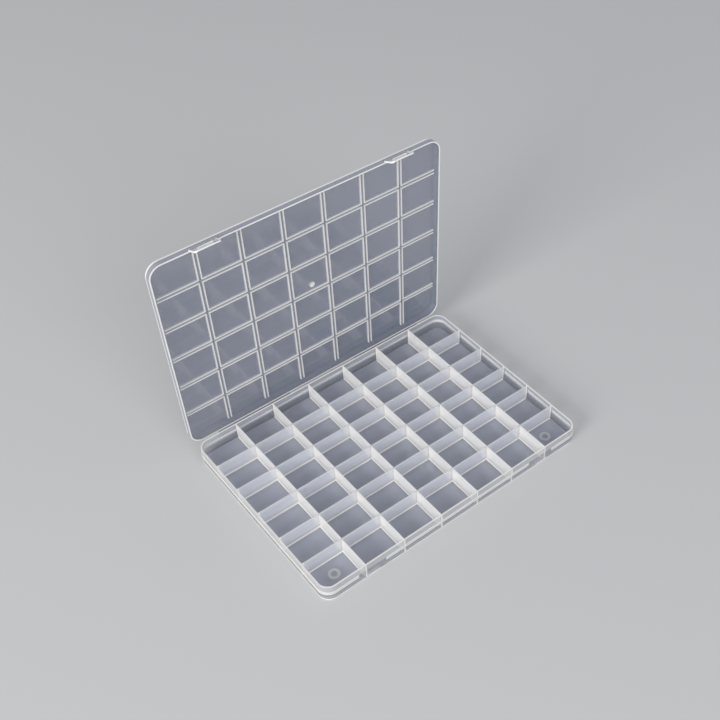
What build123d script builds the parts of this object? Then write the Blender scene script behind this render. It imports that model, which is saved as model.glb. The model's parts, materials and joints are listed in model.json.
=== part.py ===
from build123d import *

import math
import os

os.makedirs("parts", exist_ok=True)

# A flat compartment box in clear plastic: a tray of cells and a lid that folds back on it.
# The origin is the centre of the tray's underside. X runs along the hinge, the latches
# are at -Y and Z points up. The lid is drawn standing open, as it is at rest.

# Tray walls and floor
tray_length = 210.0
tray_width = 150.0
tray_height = 13.2
wall = 1.0
floor_thickness = 1.0
corner_radius = 8.0
foot_radius = 0.4
inner_foot = 1.2

# Rim on the outside of the tray, just below the skirt of the closed lid
rim_proud = 0.6
rim_bottom = 6.3
rim_top = 8.6

# Cells, equal in size and parted by thin plates
columns = 7
rows = 6
divider = 0.9

# Raised rings in the four corner cells
front_ring_x = 89.0
front_ring_y = -60.5
rear_ring_x = 88.5
rear_ring_y = 55.5
ring_outer = 4.0
ring_inner = 2.0
ring_height = 0.3

# Lid, in the place that it has when it is closed
lid_play = 0.25
skirt_thickness = 0.85
skirt_bottom = 9.2
lid_inside = 13.5
lid_top = 14.5
lid_edge_radius = 0.8
gate_x = 1.9
gate_y = -4.6
gate_outer = 1.9
gate_inner = 0.8
gate_depth = 0.3

# Ribs under the lid, in pairs that straddle each divider
rib = 0.8
rib_tip = 12.0
rib_near = 0.825
rib_end_play = 0.4
rib_rear_end = 72.8

# Hinge: two strips on the long rear side
hinge_y = 78.0
hinge_z = 9.0
hinge_inner_x = 28.0
hinge_outer_x = 86.0
leaf_thickness = 0.9
leaf_gap = 0.2
lid_leaf_lift = 0.1
bead_radius = 0.6
channel_radius = 0.65
open_angle = 88.5

# Latches: a slotted tongue that leans out from the lid's front side and a lug on the tray
latch_x = 70.0
latch_width = 18.0
latch_recess = 21.0
latch_y = -76.8
latch_z = 9.1
tongue_lean = 25.0
tongue_thickness = 1.2
tongue_start = 0.5
tongue_length = 8.8
tongue_corner = 2.5
tongue_lead_in = 0.5
boss_top = 10.4
boss_bite = 0.2
slot_length = 10.2
slot_height = 2.0
slot_drop = 3.8
slot_corner = 0.4
lug_length = 9.0
lug_bottom = 4.5
lug_reach = 2.0
lug_nose = 0.4
lug_root = 1.8

# Worked out from the sizes above
inner_length = tray_length - 2 * wall
inner_width = tray_width - 2 * wall
inner_radius = corner_radius - wall
pitch_x = (inner_length + divider) / columns
pitch_y = (inner_width + divider) / rows
long_divider_x = [pitch_x * (i - columns / 2) for i in range(1, columns)]
cross_divider_y = [pitch_y * (j - rows / 2) for j in range(1, rows)]
divider_height = tray_height - floor_thickness
lap = divider_height / 2
lid_inner_length = tray_length + 2 * lid_play
lid_inner_width = tray_width + 2 * lid_play
lid_inner_radius = corner_radius + lid_play
lid_length = lid_inner_length + 2 * skirt_thickness
lid_width = lid_inner_width + 2 * skirt_thickness
lid_radius = lid_inner_radius + skirt_thickness
rib_middle = rib_near + rib / 2
rib_far = rib_near + rib
rib_height = lid_inside - rib_tip
hinge_length = hinge_outer_x - hinge_inner_x
hinge_x = (hinge_inner_x + hinge_outer_x) / 2
rim_back = tray_width / 2 + rim_proud
boss_front = latch_y - tongue_thickness / 2
both_sides = (("left", -1), ("right", 1))

# The closed lid's X, Y and Z, turned about the hinge to where the open lid has them.
turn = math.radians(open_angle)
lid_frame = Plane(
    origin=(
        0,
        hinge_y - hinge_y * math.cos(turn) - hinge_z * math.sin(turn),
        hinge_z + hinge_y * math.sin(turn) - hinge_z * math.cos(turn),
    ),
    x_dir=(1, 0, 0),
    z_dir=(0, math.sin(turn), math.cos(turn)),
)
lid_up = Axis(lid_frame.origin, lid_frame.z_dir)


def lid_section(x):
    """Plane across the lid at x, whose axes are the closed lid's Y and Z."""
    origin = lid_frame.from_local_coords((x, 0, 0))
    return Plane(origin=origin, x_dir=lid_frame.y_dir, z_dir=(1, 0, 0))


def tongue_section(x):
    """Plane across a tongue at x, from its bead, whose axes are its thickness and its length."""
    origin = lid_section(x).from_local_coords((latch_y, latch_z, 0))
    lean = math.radians(tongue_lean)
    through = lid_frame.y_dir * math.cos(lean) - lid_frame.z_dir * math.sin(lean)
    return Plane(origin=origin, x_dir=through, z_dir=(1, 0, 0))


# Hollow of the tray, with a soft corner between its floor and its walls
with BuildPart() as hollow:
    with BuildSketch(Plane.XY.offset(floor_thickness)):
        RectangleRounded(inner_length, inner_width, inner_radius)
    extrude(amount=divider_height)
    fillet(hollow.edges().group_by(Axis.Z)[0], radius=inner_foot)

# Tray shell: floor, four walls and the rim, which stops short of each latch
with BuildPart() as tray_shell:
    with BuildSketch():
        RectangleRounded(tray_length, tray_width, corner_radius)
    extrude(amount=tray_height)
    fillet(tray_shell.edges().group_by(Axis.Z)[0], radius=foot_radius)
    with BuildSketch(Plane.XY.offset(rim_bottom)):
        RectangleRounded(
            tray_length + 2 * rim_proud,
            tray_width + 2 * rim_proud,
            corner_radius + rim_proud,
        )
        for _, side in both_sides:
            with Locations((side * latch_x, -tray_width / 2)):
                Rectangle(
                    latch_recess,
                    2 * rim_proud,
                    align=(Align.CENTER, Align.MAX),
                    mode=Mode.SUBTRACT,
                )
    extrude(amount=rim_top - rim_bottom)
    add(hollow.part, mode=Mode.SUBTRACT)
tray_shell.part.label = "tray_shell"
export_step(tray_shell.part, "parts/tray_shell.step")

# Long dividers run from the latch side to the hinge side and are notched from above
for number, x in enumerate(long_divider_x, 1):
    with BuildPart() as long_divider:
        with BuildSketch(Plane.YZ.offset(x)) as plate:
            with Locations((0, floor_thickness)):
                Rectangle(inner_width, divider_height, align=(Align.CENTER, Align.MIN))
            fillet(plate.vertices().group_by(Axis.Y)[0], radius=inner_foot)
            with Locations([(y, tray_height) for y in cross_divider_y]):
                Rectangle(divider, lap, align=(Align.CENTER, Align.MAX), mode=Mode.SUBTRACT)
        extrude(amount=divider / 2, both=True)
    long_divider.part.label = f"long_divider_{number}"
    export_step(long_divider.part, f"parts/long_divider_{number}.step")

# Cross dividers run along the hinge direction and are notched from below
for number, y in enumerate(cross_divider_y, 1):
    with BuildPart() as cross_divider:
        with BuildSketch(Plane.XZ.offset(-y)) as plate:
            with Locations((0, floor_thickness)):
                Rectangle(inner_length, divider_height, align=(Align.CENTER, Align.MIN))
            fillet(plate.vertices().group_by(Axis.Y)[0], radius=inner_foot)
            with Locations([(x, floor_thickness) for x in long_divider_x]):
                Rectangle(divider, lap, align=(Align.CENTER, Align.MIN), mode=Mode.SUBTRACT)
        extrude(amount=divider / 2, both=True)
    cross_divider.part.label = f"cross_divider_{number}"
    export_step(cross_divider.part, f"parts/cross_divider_{number}.step")

# Raised rings on the floor of the corner cells
ring_places = (("front", front_ring_x, front_ring_y), ("rear", rear_ring_x, rear_ring_y))
for end, ring_x, ring_y in ring_places:
    for name, side in both_sides:
        with BuildPart() as floor_ring:
            with BuildSketch(Plane.XY.offset(floor_thickness)):
                with Locations((side * ring_x, ring_y)):
                    Circle(ring_outer)
                    Circle(ring_inner, mode=Mode.SUBTRACT)
            extrude(amount=ring_height)
        floor_ring.part.label = f"floor_ring_{end}_{name}"
        export_step(floor_ring.part, f"parts/floor_ring_{end}_{name}.step")

# Lugs that the tongues snap over, with a ramp on top that pushes the tongue out
lug_tip_y = -tray_width / 2 - lug_reach
for name, side in both_sides:
    with BuildPart() as latch_lug:
        with BuildSketch(Plane.YZ.offset(side * latch_x)):
            with BuildLine():
                Polyline(
                    (-tray_width / 2, lug_bottom),
                    (lug_tip_y, lug_bottom),
                    (lug_tip_y, lug_bottom + lug_nose),
                    (-tray_width / 2, lug_bottom + lug_root),
                    close=True,
                )
            make_face()
        extrude(amount=lug_length / 2, both=True)
    latch_lug.part.label = f"latch_lug_{name}"
    export_step(latch_lug.part, f"parts/latch_lug_{name}.step")

# Tray half of each hinge: a shelf on the rim with a hollow edge that the bead turns in
for name, side in both_sides:
    with BuildPart() as hinge_leaf_tray:
        with BuildSketch(Plane.YZ.offset(side * hinge_x)):
            with Locations((rim_back, rim_top)):
                Rectangle(
                    hinge_y - leaf_gap - rim_back,
                    leaf_thickness,
                    align=(Align.MIN, Align.MAX),
                )
            with Locations((hinge_y, hinge_z)):
                Circle(channel_radius, mode=Mode.SUBTRACT)
        extrude(amount=hinge_length / 2, both=True)
    hinge_leaf_tray.part.label = f"hinge_leaf_tray_{name}"
    export_step(hinge_leaf_tray.part, f"parts/hinge_leaf_tray_{name}.step")

# Lid shell: plate and skirt in one, with the moulding gate's mark and the tongues' roots
with BuildPart() as lid_shell:
    with BuildSketch(lid_frame.offset(skirt_bottom)):
        RectangleRounded(lid_length, lid_width, lid_radius)
    extrude(amount=lid_top - skirt_bottom)
    fillet(lid_shell.edges().group_by(lid_up)[-1], radius=lid_edge_radius)
    with BuildSketch(lid_frame.offset(skirt_bottom)):
        RectangleRounded(lid_inner_length, lid_inner_width, lid_inner_radius)
    extrude(amount=lid_inside - skirt_bottom, mode=Mode.SUBTRACT)
    with BuildSketch(lid_frame.offset(lid_top)):
        with Locations((gate_x, gate_y)):
            Circle(gate_outer)
            Circle(gate_inner, mode=Mode.SUBTRACT)
    extrude(amount=-gate_depth, mode=Mode.SUBTRACT)
    for _, side in both_sides:
        with BuildSketch(lid_section(side * latch_x)):
            with Locations((boss_front, latch_z)):
                Rectangle(
                    boss_bite - lid_width / 2 - boss_front,
                    boss_top - latch_z,
                    align=(Align.MIN, Align.MIN),
                )
            with Locations((latch_y, latch_z)):
                Circle(channel_radius, mode=Mode.SUBTRACT)
        extrude(amount=latch_width / 2, both=True)
lid_shell.part.label = "lid_shell"
export_step(lid_shell.part, "parts/lid_shell.step")

# Rib pairs over the long dividers: one length for each row of cells, open at the crossings
row_starts = [rib_end_play - inner_width / 2] + [y + rib_far for y in cross_divider_y]
row_ends = [y - rib_far for y in cross_divider_y] + [rib_rear_end]
for number, x in enumerate(long_divider_x, 1):
    with BuildPart() as lid_rib_long:
        with BuildSketch(lid_frame.offset(rib_tip)):
            for low, high in zip(row_starts, row_ends):
                middle = (low + high) / 2
                with Locations((x - rib_middle, middle), (x + rib_middle, middle)):
                    Rectangle(rib, high - low)
        extrude(amount=rib_height)
    lid_rib_long.part.label = f"lid_rib_long_{number}"
    export_step(lid_rib_long.part, f"parts/lid_rib_long_{number}.step")

# Rib pairs over the cross dividers: one length for each column of cells
column_starts = [rib_end_play - inner_length / 2] + [x + rib_near for x in long_divider_x]
column_ends = [x - rib_near for x in long_divider_x] + [inner_length / 2 - rib_end_play]
for number, y in enumerate(cross_divider_y, 1):
    with BuildPart() as lid_rib_cross:
        with BuildSketch(lid_frame.offset(rib_tip)):
            for low, high in zip(column_starts, column_ends):
                middle = (low + high) / 2
                with Locations((middle, y - rib_middle), (middle, y + rib_middle)):
                    Rectangle(high - low, rib)
        extrude(amount=rib_height)
    lid_rib_cross.part.label = f"lid_rib_cross_{number}"
    export_step(lid_rib_cross.part, f"parts/lid_rib_cross_{number}.step")

# Lid half of each hinge: a leaf on the skirt that ends in the bead on the hinge line
for name, side in both_sides:
    with BuildPart() as hinge_leaf_lid:
        with BuildSketch(lid_section(side * hinge_x)):
            with Locations((lid_width / 2, hinge_z + lid_leaf_lift)):
                Rectangle(
                    hinge_y - lid_width / 2,
                    leaf_thickness,
                    align=(Align.MIN, Align.MIN),
                )
            with Locations((hinge_y, hinge_z)):
                Circle(bead_radius)
        extrude(amount=hinge_length / 2, both=True)
    hinge_leaf_lid.part.label = f"hinge_leaf_lid_{name}"
    export_step(hinge_leaf_lid.part, f"parts/hinge_leaf_lid_{name}.step")

# Latch tongues: a bead to bend on, a plate with rounded corners and the slot for the lug
half_tongue = tongue_thickness / 2
for name, side in both_sides:
    section = tongue_section(side * latch_x)
    tongue_up = Axis(section.origin, section.y_dir)
    tongue_through = Axis(section.origin, section.x_dir)
    outside = Plane(origin=section.origin, x_dir=(1, 0, 0), z_dir=-section.x_dir)
    with BuildPart() as latch_tongue:
        with BuildSketch(section):
            with BuildLine():
                Polyline(
                    (-half_tongue, -tongue_start),
                    (-half_tongue, -tongue_length),
                    (half_tongue - tongue_lead_in, -tongue_length),
                    (half_tongue, tongue_lead_in - tongue_length),
                    (half_tongue, -tongue_start),
                    close=True,
                )
            make_face()
            Circle(bead_radius)
        extrude(amount=latch_width / 2, both=True)
        corners = latch_tongue.edges().filter_by(tongue_through).group_by(tongue_up)[0]
        fillet(corners, radius=tongue_corner)
        with BuildSketch(outside):
            with Locations((0, -slot_drop)):
                RectangleRounded(slot_length, slot_height, slot_corner)
        extrude(amount=tongue_thickness, both=True, mode=Mode.SUBTRACT)
    latch_tongue.part.label = f"latch_tongue_{name}"
    export_step(latch_tongue.part, f"parts/latch_tongue_{name}.step")
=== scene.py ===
"""A flat compartment box in clear plastic, with its lid standing open."""

import json
import math

import bmesh
import bpy
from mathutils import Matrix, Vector

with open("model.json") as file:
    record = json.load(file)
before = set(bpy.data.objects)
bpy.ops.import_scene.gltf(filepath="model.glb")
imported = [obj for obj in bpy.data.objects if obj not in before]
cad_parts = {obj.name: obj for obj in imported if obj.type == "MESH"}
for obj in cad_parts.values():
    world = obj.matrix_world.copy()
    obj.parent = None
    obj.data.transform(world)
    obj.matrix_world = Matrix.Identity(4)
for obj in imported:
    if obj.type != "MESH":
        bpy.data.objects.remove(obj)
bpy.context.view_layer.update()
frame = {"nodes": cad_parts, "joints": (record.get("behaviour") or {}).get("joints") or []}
nodes = frame["nodes"]

# Tray shell
# The tray is one thin moulding in milky clear polypropylene: a floor, four walls and a rim
# on their outside. The plastic is clouded all through, so it is palest seen edge on.
tray_length = 0.210
tray_width = 0.150
tray_height = 0.0132
tray_corner = 0.008
tray_wall = 0.001
tray_floor = 0.001
rim_bottom = 0.0063
rim_top = 0.0086
columns = 7
rows = 6
divider = 0.0009
column_pitch = (tray_length - 2 * tray_wall + divider) / columns
row_pitch = (tray_width - 2 * tray_wall + divider) / rows


def place(tree, kind, inputs=None, **settings):
    """Adds a shader node. Each input is given a value or the socket that feeds it."""
    made = tree.nodes.new(kind)
    for name, value in settings.items():
        setattr(made, name, value)
    for name, value in (inputs or {}).items():
        if isinstance(value, bpy.types.NodeSocket):
            tree.links.new(value, made.inputs[name])
        else:
            made.inputs[name].default_value = value
    return made


def maths(tree, operation, *values, clamp=False):
    """The output of a Math node on one, two or three values or sockets."""
    inputs = dict(enumerate(values))
    return place(tree, "ShaderNodeMath", inputs, operation=operation, use_clamp=clamp).outputs[0]


def split(tree, vector):
    """The X, Y and Z sockets of a vector."""
    return place(tree, "ShaderNodeSeparateXYZ", {"Vector": vector}).outputs


def joined(tree, x, y):
    """A flat vector of two sockets."""
    return place(tree, "ShaderNodeCombineXYZ", {"X": x, "Y": y}).outputs["Vector"]


def ramp(tree, value, start, end):
    """A smooth mask that is 0 at start and 1 at end, on whichever side start lies."""
    rising = start < end
    inputs = {
        "Value": value,
        "From Min": min(start, end),
        "From Max": max(start, end),
        "To Min": 0.0 if rising else 1.0,
        "To Max": 1.0 if rising else 0.0,
    }
    made = place(tree, "ShaderNodeMapRange", inputs, interpolation_type="SMOOTHSTEP")
    return made.outputs["Result"]


def both(tree, *masks):
    """The product of some masks, so that all of them have to hold."""
    product = masks[0]
    for mask in masks[1:]:
        product = maths(tree, "MULTIPLY", product, mask)
    return product


def strongest(tree, *masks):
    """The highest of some masks, each given with its strength."""
    parts = [maths(tree, "MULTIPLY", mask, strength) for mask, strength in masks]
    while len(parts) > 1:
        parts[:2] = [maths(tree, "MAXIMUM", parts[0], parts[1])]
    return parts[0]


def node_group(name, inputs, outputs):
    """An empty shader group with its sockets, and its input and output nodes."""
    group = bpy.data.node_groups.new(name, "ShaderNodeTree")
    for label, kind, value in inputs:
        socket = group.interface.new_socket(label, in_out="INPUT", socket_type=kind)
        if value is not None:
            socket.default_value = value
    for label, kind in outputs:
        group.interface.new_socket(label, in_out="OUTPUT", socket_type=kind)
    return group, place(group, "NodeGroupInput").outputs, place(group, "NodeGroupOutput").inputs


# How far outside a rounded rectangle's outline a point lies, in metres, seen from above
plan_group, given, result = node_group(
    "rounded_plan",
    (
        ("Vector", "NodeSocketVector", None),
        ("Half Length", "NodeSocketFloat", tray_length / 2),
        ("Half Width", "NodeSocketFloat", tray_width / 2),
        ("Corner", "NodeSocketFloat", tray_corner),
    ),
    (("Distance", "NodeSocketFloat"),),
)
across = split(plan_group, given["Vector"])
past = []
for axis, half in (("X", "Half Length"), ("Y", "Half Width")):
    straight = maths(plan_group, "SUBTRACT", given[half], given["Corner"])
    from_middle = maths(plan_group, "ABSOLUTE", across[axis])
    past.append(maths(plan_group, "SUBTRACT", from_middle, straight))
outside = [maths(plan_group, "MAXIMUM", value, 0.0) for value in past]
squares = [maths(plan_group, "MULTIPLY", value, value) for value in outside]
reach = maths(plan_group, "SQRT", maths(plan_group, "ADD", *squares))
inside = maths(plan_group, "MINIMUM", maths(plan_group, "MAXIMUM", *past), 0.0)
plan_group.links.new(
    maths(plan_group, "SUBTRACT", maths(plan_group, "ADD", reach, inside), given["Corner"]),
    result["Distance"],
)

# How far a point lies from the nearest line of an even grid, in metres
grid_group, given, result = node_group(
    "grid_line",
    (
        ("Place", "NodeSocketFloat", 0.0),
        ("Pitch", "NodeSocketFloat", column_pitch),
        ("Phase", "NodeSocketFloat", 0.0),
    ),
    (("Distance", "NodeSocketFloat"),),
)
steps = maths(grid_group, "DIVIDE", given["Place"], given["Pitch"])
turns = maths(grid_group, "ADD", steps, given["Phase"])
off = maths(grid_group, "ABSOLUTE", maths(grid_group, "WRAP", turns, 0.5, -0.5))
grid_group.links.new(maths(grid_group, "MULTIPLY", off, given["Pitch"]), result["Distance"])

# Clouded plastic: panels let most light through, edges send most of it back
cloud_scale = 38.0
cloud_detail = 3.0
cloud_twist = 0.6
cloud_depth = 4.0
edge_spread = 2.0
cloud_group, given, result = node_group(
    "clouded_plastic",
    (
        ("Vector", "NodeSocketVector", None),
        ("Streaks", "NodeSocketVector", (1.0, 1.0, 1.0)),
        ("Edge", "NodeSocketFloat", 0.0),
        ("Panel Colour", "NodeSocketColor", (0.5, 0.5, 0.5, 1)),
        ("Edge Colour", "NodeSocketColor", (0.9, 0.9, 0.9, 1)),
        ("Panel Opacity", "NodeSocketFloat", 0.2),
        ("Edge Opacity", "NodeSocketFloat", 0.9),
        ("Panel Roughness", "NodeSocketFloat", 0.2),
        ("Cloud", "NodeSocketFloat", 0.1),
    ),
    (
        ("Colour", "NodeSocketColor"),
        ("Opacity", "NodeSocketFloat"),
        ("Roughness", "NodeSocketFloat"),
        ("Height", "NodeSocketFloat"),
    ),
)
drawn = place(
    cloud_group,
    "ShaderNodeVectorMath",
    {0: given["Vector"], 1: given["Streaks"]},
    operation="MULTIPLY",
).outputs["Vector"]
cloud = place(
    cloud_group,
    "ShaderNodeTexNoise",
    {"Vector": drawn, "Scale": cloud_scale, "Detail": cloud_detail, "Distortion": cloud_twist},
).outputs["Fac"]
swing = maths(cloud_group, "MULTIPLY", maths(cloud_group, "SUBTRACT", cloud, 0.5), given["Cloud"])
thinning = maths(cloud_group, "MULTIPLY_ADD", swing, cloud_depth, 1.0)
clouded = maths(cloud_group, "MULTIPLY", given["Panel Opacity"], thinning)
whitened = maths(cloud_group, "MULTIPLY", given["Edge"], edge_spread, clamp=True)
colour = place(
    cloud_group,
    "ShaderNodeMix",
    {"Factor": whitened, "A": given["Panel Colour"], "B": given["Edge Colour"]},
    data_type="RGBA",
)
opacity = place(
    cloud_group,
    "ShaderNodeMix",
    {"Factor": given["Edge"], "A": clouded, "B": given["Edge Opacity"]},
    data_type="FLOAT",
)
uneven = maths(cloud_group, "ADD", given["Panel Roughness"], swing)
cloud_group.links.new(colour.outputs["Result"], result["Colour"])
cloud_group.links.new(opacity.outputs["Result"], result["Opacity"])
cloud_group.links.new(uneven, result["Roughness"])
cloud_group.links.new(cloud, result["Height"])

edge_white = (0.94, 0.93, 0.90)
slate = (0.19, 0.21, 0.28)
floor_slate = (0.48, 0.52, 0.64)
# Colour of the painted shade at the foot of the inner walls, below the rim.
painted_shade = (0.10, 0.12, 0.17)
grazing_power = 4.0
grazing_share = 0.5
soft_edge = 0.0002
ripple_strength = 0.15
ripple_depth = 0.0006


def fresh_tree(owner):
    """The emptied node tree of a material or a world."""
    owner.use_nodes = True
    owner.node_tree.nodes.clear()
    return owner.node_tree


def plastic(name):
    """A new material with only its tree, and the object's own coordinates in it."""
    material = bpy.data.materials.new(name)
    tree = fresh_tree(material)
    return material, tree, place(tree, "ShaderNodeTexCoord").outputs["Object"]


def seen_from(tree):
    """Masks for a face that is seen from its outer side, and for one seen from behind."""
    from_behind = place(tree, "ShaderNodeNewGeometry").outputs["Backfacing"]
    return maths(tree, "SUBTRACT", 1.0, from_behind), from_behind


def outline_distance(tree, vector, half_length, half_width, corner):
    """How far outside a rounded rectangle about the origin a point lies, in X and Y."""
    return place(
        tree,
        "ShaderNodeGroup",
        {"Vector": vector, "Half Length": half_length, "Half Width": half_width, "Corner": corner},
        node_tree=plan_group,
    ).outputs["Distance"]


def grid_distance(tree, along, pitch, phase):
    """How far a place along an axis lies from the nearest line of an even grid."""
    return place(
        tree,
        "ShaderNodeGroup",
        {"Place": along, "Pitch": pitch, "Phase": phase},
        node_tree=grid_group,
    ).outputs["Distance"]


def zoned(tree, colour, opacity, *zones):
    """Panel colour and opacity that change where a zone's mask says so."""
    colour = (*colour, 1)
    for mask, zone_colour, zone_opacity in zones:
        colour, opacity = (
            place(
                tree,
                "ShaderNodeMix",
                {"Factor": mask, "A": before, "B": after},
                data_type=kind,
            ).outputs["Result"]
            for kind, before, after in (
                ("RGBA", colour, (*zone_colour, 1)),
                ("FLOAT", opacity, zone_opacity),
            )
        )
    return colour, opacity


def finish_plastic(
    tree,
    vector,
    edge,
    panel,
    opacity,
    roughness,
    edge_opacity=0.92,
    streaks=(1, 1, 1),
    cloud=0.06,
    index=1.8,
):
    """Clouded plastic for a tree. Panel is its colour away from bright edges, and opacity
    that of one face there.

    A piece with no bright edges has the panel's colour all over, and None for edge.
    """
    if not isinstance(panel, bpy.types.NodeSocket):
        panel = (*panel, 1)
    even = edge is None
    clouded = place(
        tree,
        "ShaderNodeGroup",
        {
            "Vector": vector,
            "Streaks": streaks,
            "Edge": 0.0 if even else edge,
            "Panel Colour": panel,
            "Edge Colour": (*edge_white, 1),
            "Panel Opacity": opacity,
            "Edge Opacity": edge_opacity,
            "Panel Roughness": roughness,
            "Cloud": cloud,
        },
        node_tree=cloud_group,
    ).outputs
    # A thin plate turns away more light the flatter it is looked along.
    facing = place(tree, "ShaderNodeLayerWeight", {"Blend": 0.5}).outputs["Facing"]
    grazing = maths(tree, "MULTIPLY", maths(tree, "POWER", facing, grazing_power), grazing_share)
    rest = maths(tree, "SUBTRACT", 1.0, clouded["Opacity"])
    seen = maths(tree, "MULTIPLY_ADD", rest, grazing, clouded["Opacity"], clamp=True)
    rounded = place(tree, "ShaderNodeBevel", {"Radius": soft_edge}, samples=4)
    bump = place(
        tree,
        "ShaderNodeBump",
        {
            "Strength": ripple_strength,
            "Distance": ripple_depth,
            "Height": clouded["Height"],
            "Normal": rounded.outputs["Normal"],
        },
    )
    # The thin cover also thins the gloss, so the index is high to bring it back.
    shader = place(
        tree,
        "ShaderNodeBsdfPrincipled",
        {
            "Base Color": panel if even else clouded["Colour"],
            "Roughness": clouded["Roughness"],
            "Alpha": seen,
            "Normal": bump.outputs["Normal"],
            "IOR": index,
        },
    )
    place(tree, "ShaderNodeOutputMaterial", {"Surface": shader.outputs["BSDF"]})


def dress(material, start):
    """Gives a material, in every slot, to the CAD nodes whose names start so."""
    for name in nodes:
        if name.startswith(start):
            for slot in nodes[name].material_slots:
                slot.link = "OBJECT"
                slot.material = material


# Where masks begin and where they are full, first outwards from the tray's outline
outer_face = (-0.0006, -0.0003)
inner_face = (-0.0007, -0.0009)
rim_face = (0.00005, 0.0003)
foot_round = (-0.0009, -0.0003)
floor_field = (-0.0009, -0.0014)
feet_field = (-0.0010, -0.0014)
# The same for heights
underside_end = (0.0005, 0.0009)
foot_end = (0.0005, 0.0012)
foot_top = (0.0013, 0.0008)
floor_top = (0.0014, 0.0011)
below_rim = (0.0070, 0.0060)
rim_upper_edge = (rim_top - 0.0009, rim_top - 0.0004)
rim_lower_edge = (rim_bottom + 0.0009, rim_bottom + 0.0004)
lip_height = (tray_height - 0.0003, tray_height - 0.0001)
# The same for distances from a divider's middle plane
divider_foot = (0.0011, 0.0007)
divider_end = (0.0008, 0.0004)
# The same for the way in from the outer walls
clear_of_wall = (0.0015, 0.0025)
# Pitch and phase of the grid that the dividers stand on, and half the tray's size
grid_lines = {
    "X": (column_pitch, 0.5, tray_length / 2),
    "Y": (row_pitch, 0.0, tray_width / 2),
}

tray_material, tree, vector = plastic("tray_polypropylene")
plan = outline_distance(tree, vector, tray_length / 2, tray_width / 2, tray_corner)
parts = split(tree, vector)
height = parts["Z"]
# The outside of the walls is hazy. From within, the polished walls are clear.
from_outside, from_within = seen_from(tree)
haze = both(tree, from_outside, ramp(tree, plan, *outer_face), ramp(tree, height, *foot_end))
upper_haze = both(tree, haze, ramp(tree, height, rim_bottom, rim_top))
lip = ramp(tree, height, *lip_height)
rim = ramp(tree, plan, *rim_face)
# The rim seen from within, through the wall, is painted whiter: a painted highlight.
rim_painted_highlight_within = both(tree, from_within, rim)
edge_lines = maths(
    tree,
    "MAXIMUM",
    ramp(tree, height, *rim_upper_edge),
    ramp(tree, height, *rim_lower_edge),
)
rim_edges = both(tree, rim, edge_lines)
foot = both(tree, from_outside, ramp(tree, height, *foot_top), ramp(tree, plan, *foot_round))
floor_part = both(tree, ramp(tree, height, *floor_top), ramp(tree, plan, *floor_field))
# Each divider brightens the floor along its foot, and shows through the wall at its end.
foot_lines = []
end_lines = []
for axis, (pitch, phase, half) in grid_lines.items():
    from_divider = grid_distance(tree, parts[axis], pitch, phase)
    from_middle = maths(tree, "ABSOLUTE", parts[axis])
    within = ramp(tree, from_middle, *(half - inset for inset in clear_of_wall))
    foot_lines.append(both(tree, within, ramp(tree, from_divider, *divider_foot)))
    end_lines.append(both(tree, within, ramp(tree, from_divider, *divider_end)))
feet = both(
    tree,
    maths(tree, "MAXIMUM", *foot_lines),
    ramp(tree, height, *underside_end),
    ramp(tree, height, *floor_top),
    ramp(tree, plan, *feet_field),
)
long_ends, cross_ends = (both(tree, haze, line) for line in end_lines)
bright = strongest(
    tree,
    (haze, 0.20),
    (upper_haze, 0.38),
    (lip, 0.85),
    (rim, 0.50),
    (rim_painted_highlight_within, 0.80),
    (rim_edges, 0.80),
    (foot, 1.0),
    (feet, 0.90),
    (long_ends, 0.75),
    (cross_ends, 0.40),
)
# The inner walls are slate, like the floor, with painted shade on them below the rim.
inner_walls = both(tree, from_outside, ramp(tree, plan, *inner_face))
painted_shade_below_rim = both(tree, inner_walls, ramp(tree, height, *below_rim))
panel, opacity = zoned(
    tree,
    slate,
    0.15,
    (inner_walls, floor_slate, 0.24),
    (painted_shade_below_rim, painted_shade, 0.45),
    (floor_part, floor_slate, 0.30),
)
finish_plastic(tree, vector, bright, panel, opacity, roughness=0.2, cloud=0.05)
dress(tray_material, "tray_shell")

# Raised rings and lugs
# Small marks on the floor and catches on the front wall. They are part of the tray
# moulding, and thick enough to look whiter.
ring_grey = (0.5, 0.52, 0.58)
ring_foot = (tray_floor, tray_floor + 0.0002)
lug_grey = (0.6, 0.62, 0.68)
lug_bottom = 0.0045
lug_front = -0.077
nose_height = (lug_bottom + 0.0005, lug_bottom + 0.0003)
nose_front = (lug_front + 0.0004, lug_front + 0.0002)

ring_material, tree, vector = plastic("raised_mark_polypropylene")
raised = ramp(tree, split(tree, vector)["Z"], *ring_foot)
finish_plastic(
    tree, vector, raised, ring_grey, opacity=0.1, roughness=0.25, edge_opacity=0.42
)
dress(ring_material, "floor_ring")

lug_material, tree, vector = plastic("lug_polypropylene")
parts = split(tree, vector)
nose = both(tree, ramp(tree, parts["Z"], *nose_height), ramp(tree, parts["Y"], *nose_front))
finish_plastic(tree, vector, nose, lug_grey, opacity=0.16, roughness=0.15)
dress(lug_material, "latch_lug")

# Dividers
# Thin plates of full height across the tray, moulded with it. Their edges, their feet and
# the lines where they cross are brighter, because the plastic is deeper there; the wider
# glow about each crossing is a painted glow.
divider_corner = 0.0012
crossing_line = (0.0011, 0.0006)
crossing_glow = (0.0060, 0.0008)
divider_top = (tray_height - 0.0004, tray_height - 0.0001)
divider_edge = (-0.0014, -0.0009)


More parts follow.
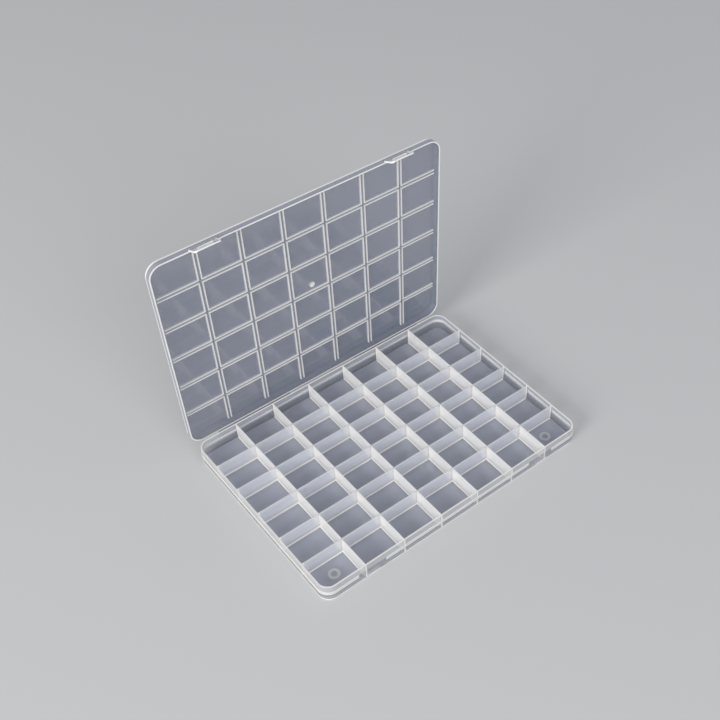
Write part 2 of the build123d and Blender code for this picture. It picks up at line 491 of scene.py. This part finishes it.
def dress_dividers(kind, axis, panel, opacity, top_glow, cross_glow, streaks):
    """Makes the plastic of the dividers that run along an axis, and dresses them in it."""
    pitch, phase, half = grid_lines[axis]
    material, tree, vector = plastic(f"{kind}_divider_polypropylene")
    parts = split(tree, vector)
    from_crossing = grid_distance(tree, parts[axis], pitch, phase)
    side_view = joined(tree, parts[axis], maths(tree, "SUBTRACT", parts["Z"], tray_height))
    side_height = tray_height - tray_floor
    inset = outline_distance(tree, side_view, half - tray_wall, side_height, divider_corner)
    bright = strongest(
        tree,
        (ramp(tree, parts["Z"], *divider_top), top_glow),
        (ramp(tree, from_crossing, *crossing_line), 0.4),
        # A painted glow that fades out over some millimetres about each crossing.
        (ramp(tree, from_crossing, *crossing_glow), cross_glow),
        (ramp(tree, inset, *divider_edge), 1.0),
    )
    finish_plastic(
        tree, vector, bright, panel, opacity, roughness=0.22, streaks=streaks, cloud=0.14
    )
    dress(material, f"{kind}_divider")


# The long dividers face the lamp on the left, so they are painted whiter, more opaque and brighter
# along the top than the cross dividers: painted light.
dress_dividers(
    "long",
    axis="Y",
    panel=(0.93, 0.935, 0.945),
    opacity=0.63,
    top_glow=0.75,
    cross_glow=0.35,
    streaks=(1.0, 0.2, 10.0),
)
dress_dividers(
    "cross",
    axis="X",
    panel=(0.87, 0.89, 0.95),
    opacity=0.45,
    top_glow=0.2,
    cross_glow=0.2,
    streaks=(0.2, 1.0, 10.0),
)

# Hinge strips
# Two strips of the same moulding along the back, thinned to a film that bends.
strip_white = (0.84, 0.85, 0.90)

hinge_material, tree, vector = plastic("hinge_polypropylene")
finish_plastic(tree, vector, None, strip_white, opacity=0.75, roughness=0.25)
dress(hinge_material, "hinge_leaf_tray")

film_material, tree, vector = plastic("film_polypropylene")
finish_plastic(tree, vector, None, slate, opacity=0.35, roughness=0.2)
dress(film_material, "hinge_leaf_lid")

# Lid shell
# A flat plate with a short skirt, moulded in the same plastic and the clearest part of the
# box. Its sizes are those of the closed lid, so the coordinates are turned back first.
joints = {joint["name"]: joint for joint in frame["joints"]}
hinge_at = Vector(joints["lid_hinge"]["pos_m"])
open_turn = -math.radians(joints["lid_hinge"]["range_deg"][0])
lid_half_length = 0.1061
lid_half_width = 0.0761
lid_corner = 0.0091
skirt_edge = 0.0092
lid_top = 0.0145
gate_at = (0.0019, -0.0046, lid_top)
smoke = (0.13, 0.16, 0.25)
lavender = (0.43, 0.45, 0.55)
milk = (0.54, 0.57, 0.63)
free_edge_height = (skirt_edge + 0.0004, skirt_edge + 0.0001)
skirt_face = (-0.0005, -0.0002)
shoulder_line = (-0.0009, -0.0006)
shoulder_height = (0.0127, 0.0132)
top_height = (lid_top - 0.0003, lid_top - 0.0001)
gate_outside = (0.0023, 0.0020)
gate_hollow = (0.0005, 0.0008)


def turned_place(tree, vector, pivot, turn, to):
    """The point that a point comes to when it turns about X at pivot, which moves to to."""
    moved = Vector(
        (
            0,
            pivot.y * math.cos(turn) - pivot.z * math.sin(turn),
            pivot.y * math.sin(turn) + pivot.z * math.cos(turn),
        )
    )
    return place(
        tree,
        "ShaderNodeMapping",
        {"Vector": vector, "Rotation": (turn, 0, 0), "Location": to - moved},
    ).outputs["Vector"]


lid_material, tree, vector = plastic("lid_polypropylene")
closed = turned_place(tree, vector, hinge_at, open_turn, hinge_at)
plan = outline_distance(tree, closed, lid_half_length, lid_half_width, lid_corner)
height = split(tree, closed)["Z"]
from_outside, _ = seen_from(tree)
free_edge = ramp(tree, height, *free_edge_height)
skirt = both(tree, from_outside, ramp(tree, plan, *skirt_face))
top_face = both(tree, from_outside, ramp(tree, height, *top_height))
shoulder = both(
    tree,
    from_outside,
    ramp(tree, plan, *shoulder_line),
    ramp(tree, height, *shoulder_height),
)
from_gate = place(
    tree,
    "ShaderNodeVectorMath",
    {0: closed, 1: gate_at},
    operation="DISTANCE",
).outputs["Value"]
gate = both(tree, ramp(tree, from_gate, *gate_outside), ramp(tree, from_gate, *gate_hollow))
bright = strongest(tree, (free_edge, 0.95), (shoulder, 1.0), (gate, 0.75))
panel, opacity = zoned(tree, smoke, 0.43, (top_face, milk, 0.30), (skirt, lavender, 0.55))
finish_plastic(
    tree, vector, bright, panel, opacity, roughness=0.05, cloud=0.03, index=2.1
)
dress(lid_material, "lid_shell")

# Lid ribs
# Pairs of low ribs, moulded on the inside of the lid, that close the gap over each divider.
rib_grey = (0.76, 0.78, 0.82)
rib_tip = (0.0126, 0.0121)

rib_material, tree, vector = plastic("rib_polypropylene")
closed = turned_place(tree, vector, hinge_at, open_turn, hinge_at)
tip = strongest(tree, (ramp(tree, split(tree, closed)["Z"], *rib_tip), 0.8))
finish_plastic(tree, vector, tip, rib_grey, opacity=0.35, roughness=0.2, edge_opacity=0.80)
dress(rib_material, "lid_rib")

# Latch tongues
# Slotted tongues that lean out from the lid's front edge and snap over the lugs. Their
# coordinates start at the bead that they bend on, and run along the plate.
tongue_grey = (0.62, 0.64, 0.70)
tongue_lean = math.radians(25)
tongue_x = 0.070
tongue_at = Vector((0, *joints["latch_flex_left"]["pos_m"][1:]))
tongue_half_width = 0.009
tongue_reach = 0.0088
tongue_corner = 0.0025
tongue_edge = (-0.0003, -0.0001)
slot_from_bead = 0.0038
slot_half_width = 0.0051
slot_half_height = 0.0010
slot_corner = 0.0004
slot_edge = (0.0003, 0.0001)

tongue_material, tree, vector = plastic("tongue_polypropylene")
along = turned_place(tree, vector, tongue_at, open_turn + tongue_lean, Vector())
parts = split(tree, along)
from_middle = maths(tree, "SUBTRACT", maths(tree, "ABSOLUTE", parts["X"]), tongue_x)
from_slot = maths(tree, "ADD", parts["Z"], slot_from_bead)
slot_distance = outline_distance(
    tree, joined(tree, from_middle, from_slot), slot_half_width, slot_half_height, slot_corner
)
plate_distance = outline_distance(
    tree, joined(tree, from_middle, parts["Z"]), tongue_half_width, tongue_reach, tongue_corner
)
bright = strongest(
    tree,
    (ramp(tree, slot_distance, *slot_edge), 0.8),
    (ramp(tree, plate_distance, *tongue_edge), 0.9),
)
finish_plastic(tree, vector, bright, tongue_grey, opacity=0.22, roughness=0.15)
dress(tongue_material, "latch_tongue")

# Floor, light and camera
# A plain pale floor that passes into an even backdrop, a soft lamp low on the left, a
# larger and weaker one in front, and the camera where the photograph was taken from.
floor_size = 6.0
floor_drop = 0.00002
floor_grey = (0.585, 0.59, 0.60, 1)
backdrop = (0.47, 0.475, 0.485, 1)
backdrop_distance = (0.5, 2.2)
sky = (0.92, 0.95, 1.0, 1)
sky_strength = 0.44
lamp_aim = Vector((0, 0, 0.02))


def seen_directly(tree):
    """1 for what the camera, a glossy face or glass sees, 0 for what only sends light."""
    rays = place(tree, "ShaderNodeLightPath").outputs
    mirrored = maths(tree, "MAXIMUM", rays["Is Glossy Ray"], rays["Is Transmission Ray"])
    return maths(tree, "MAXIMUM", rays["Is Camera Ray"], mirrored)


def mixed(tree, share, first, second):
    """The output of a shader that passes from the first to the second as share grows."""
    return place(tree, "ShaderNodeMixShader", {0: share, 1: first, 2: second}).outputs["Shader"]


floor_mesh = bpy.data.meshes.new("floor")
sheet = bmesh.new()
bmesh.ops.create_grid(sheet, x_segments=1, y_segments=1, size=floor_size)
bmesh.ops.translate(sheet, verts=sheet.verts, vec=(0, 0, -floor_drop))
sheet.to_mesh(floor_mesh)
sheet.free()
floor = bpy.data.objects.new("floor", floor_mesh)
bpy.context.scene.collection.objects.link(floor)

# Far away, where the lamps don't reach, floor and world pass into one even backdrop.
floor_material = bpy.data.materials.new("pale_floor")
tree = fresh_tree(floor_material)
from_middle = place(
    tree,
    "ShaderNodeVectorMath",
    {0: place(tree, "ShaderNodeTexCoord").outputs["Object"]},
    operation="LENGTH",
).outputs["Value"]
far = both(tree, ramp(tree, from_middle, *backdrop_distance), seen_directly(tree))
near_floor = place(tree, "ShaderNodeBsdfPrincipled", {"Base Color": floor_grey, "Roughness": 0.8})
far_floor = place(tree, "ShaderNodeEmission", {"Color": backdrop})
surface = mixed(tree, far, near_floor.outputs["BSDF"], far_floor.outputs["Emission"])
place(tree, "ShaderNodeOutputMaterial", {"Surface": surface})
floor_mesh.materials.append(floor_material)

world = bpy.data.worlds.new("studio")
tree = fresh_tree(world)
open_sky = place(tree, "ShaderNodeBackground", {"Color": sky, "Strength": sky_strength})
wall = place(tree, "ShaderNodeBackground", {"Color": backdrop})
surface = mixed(
    tree, seen_directly(tree), open_sky.outputs["Background"], wall.outputs["Background"]
)
place(tree, "ShaderNodeOutputWorld", {"Surface": surface})
bpy.context.scene.world = world


def soft_lamp(name, stands_at, size, power, colour):
    """A square area lamp that faces the object."""
    data = bpy.data.lights.new(name, "AREA")
    data.shape = "SQUARE"
    data.size = size
    data.energy = power
    data.color = colour
    lamp = bpy.data.objects.new(name, data)
    bpy.context.scene.collection.objects.link(lamp)
    lamp.location = stands_at
    lamp.rotation_euler = (lamp_aim - Vector(stands_at)).to_track_quat("-Z", "Y").to_euler()


soft_lamp("key", (-2.9, -0.7, 1.3), size=1.4, power=84, colour=(1.0, 0.965, 0.91))
soft_lamp("fill", (-0.4, -3.2, 1.9), size=1.8, power=50, colour=(0.95, 0.97, 1.0))

azimuth = math.radians(-39.34)
elevation = math.radians(48.46)
looked_at = Vector((0.03664, -0.01175, 0.0))
camera_distance = 0.6971
focal_px = 1002.2
photo_px = 720
middle_px = (441.6, 432.6)
sensor_mm = 36
back_along = Vector(
    (
        math.sin(azimuth) * math.cos(elevation),
        -math.cos(azimuth) * math.cos(elevation),
        math.sin(elevation),
    )
)
camera_data = bpy.data.cameras.new("camera")
camera_data.sensor_width = sensor_mm
camera_data.lens = focal_px / photo_px * sensor_mm
camera_data.shift_x = (photo_px / 2 - middle_px[0]) / photo_px
camera_data.shift_y = (middle_px[1] - photo_px / 2) / photo_px
camera = bpy.data.objects.new("camera", camera_data)
bpy.context.scene.collection.objects.link(camera)
camera.location = looked_at + camera_distance * back_along
camera.rotation_euler = (-back_along).to_track_quat("-Z", "Y").to_euler()
bpy.context.scene.camera = camera
bpy.context.scene.view_settings.view_transform = "Standard"
# A look along the box crosses several dozen thin walls.
bpy.context.scene.cycles.transparent_max_bounces = 64
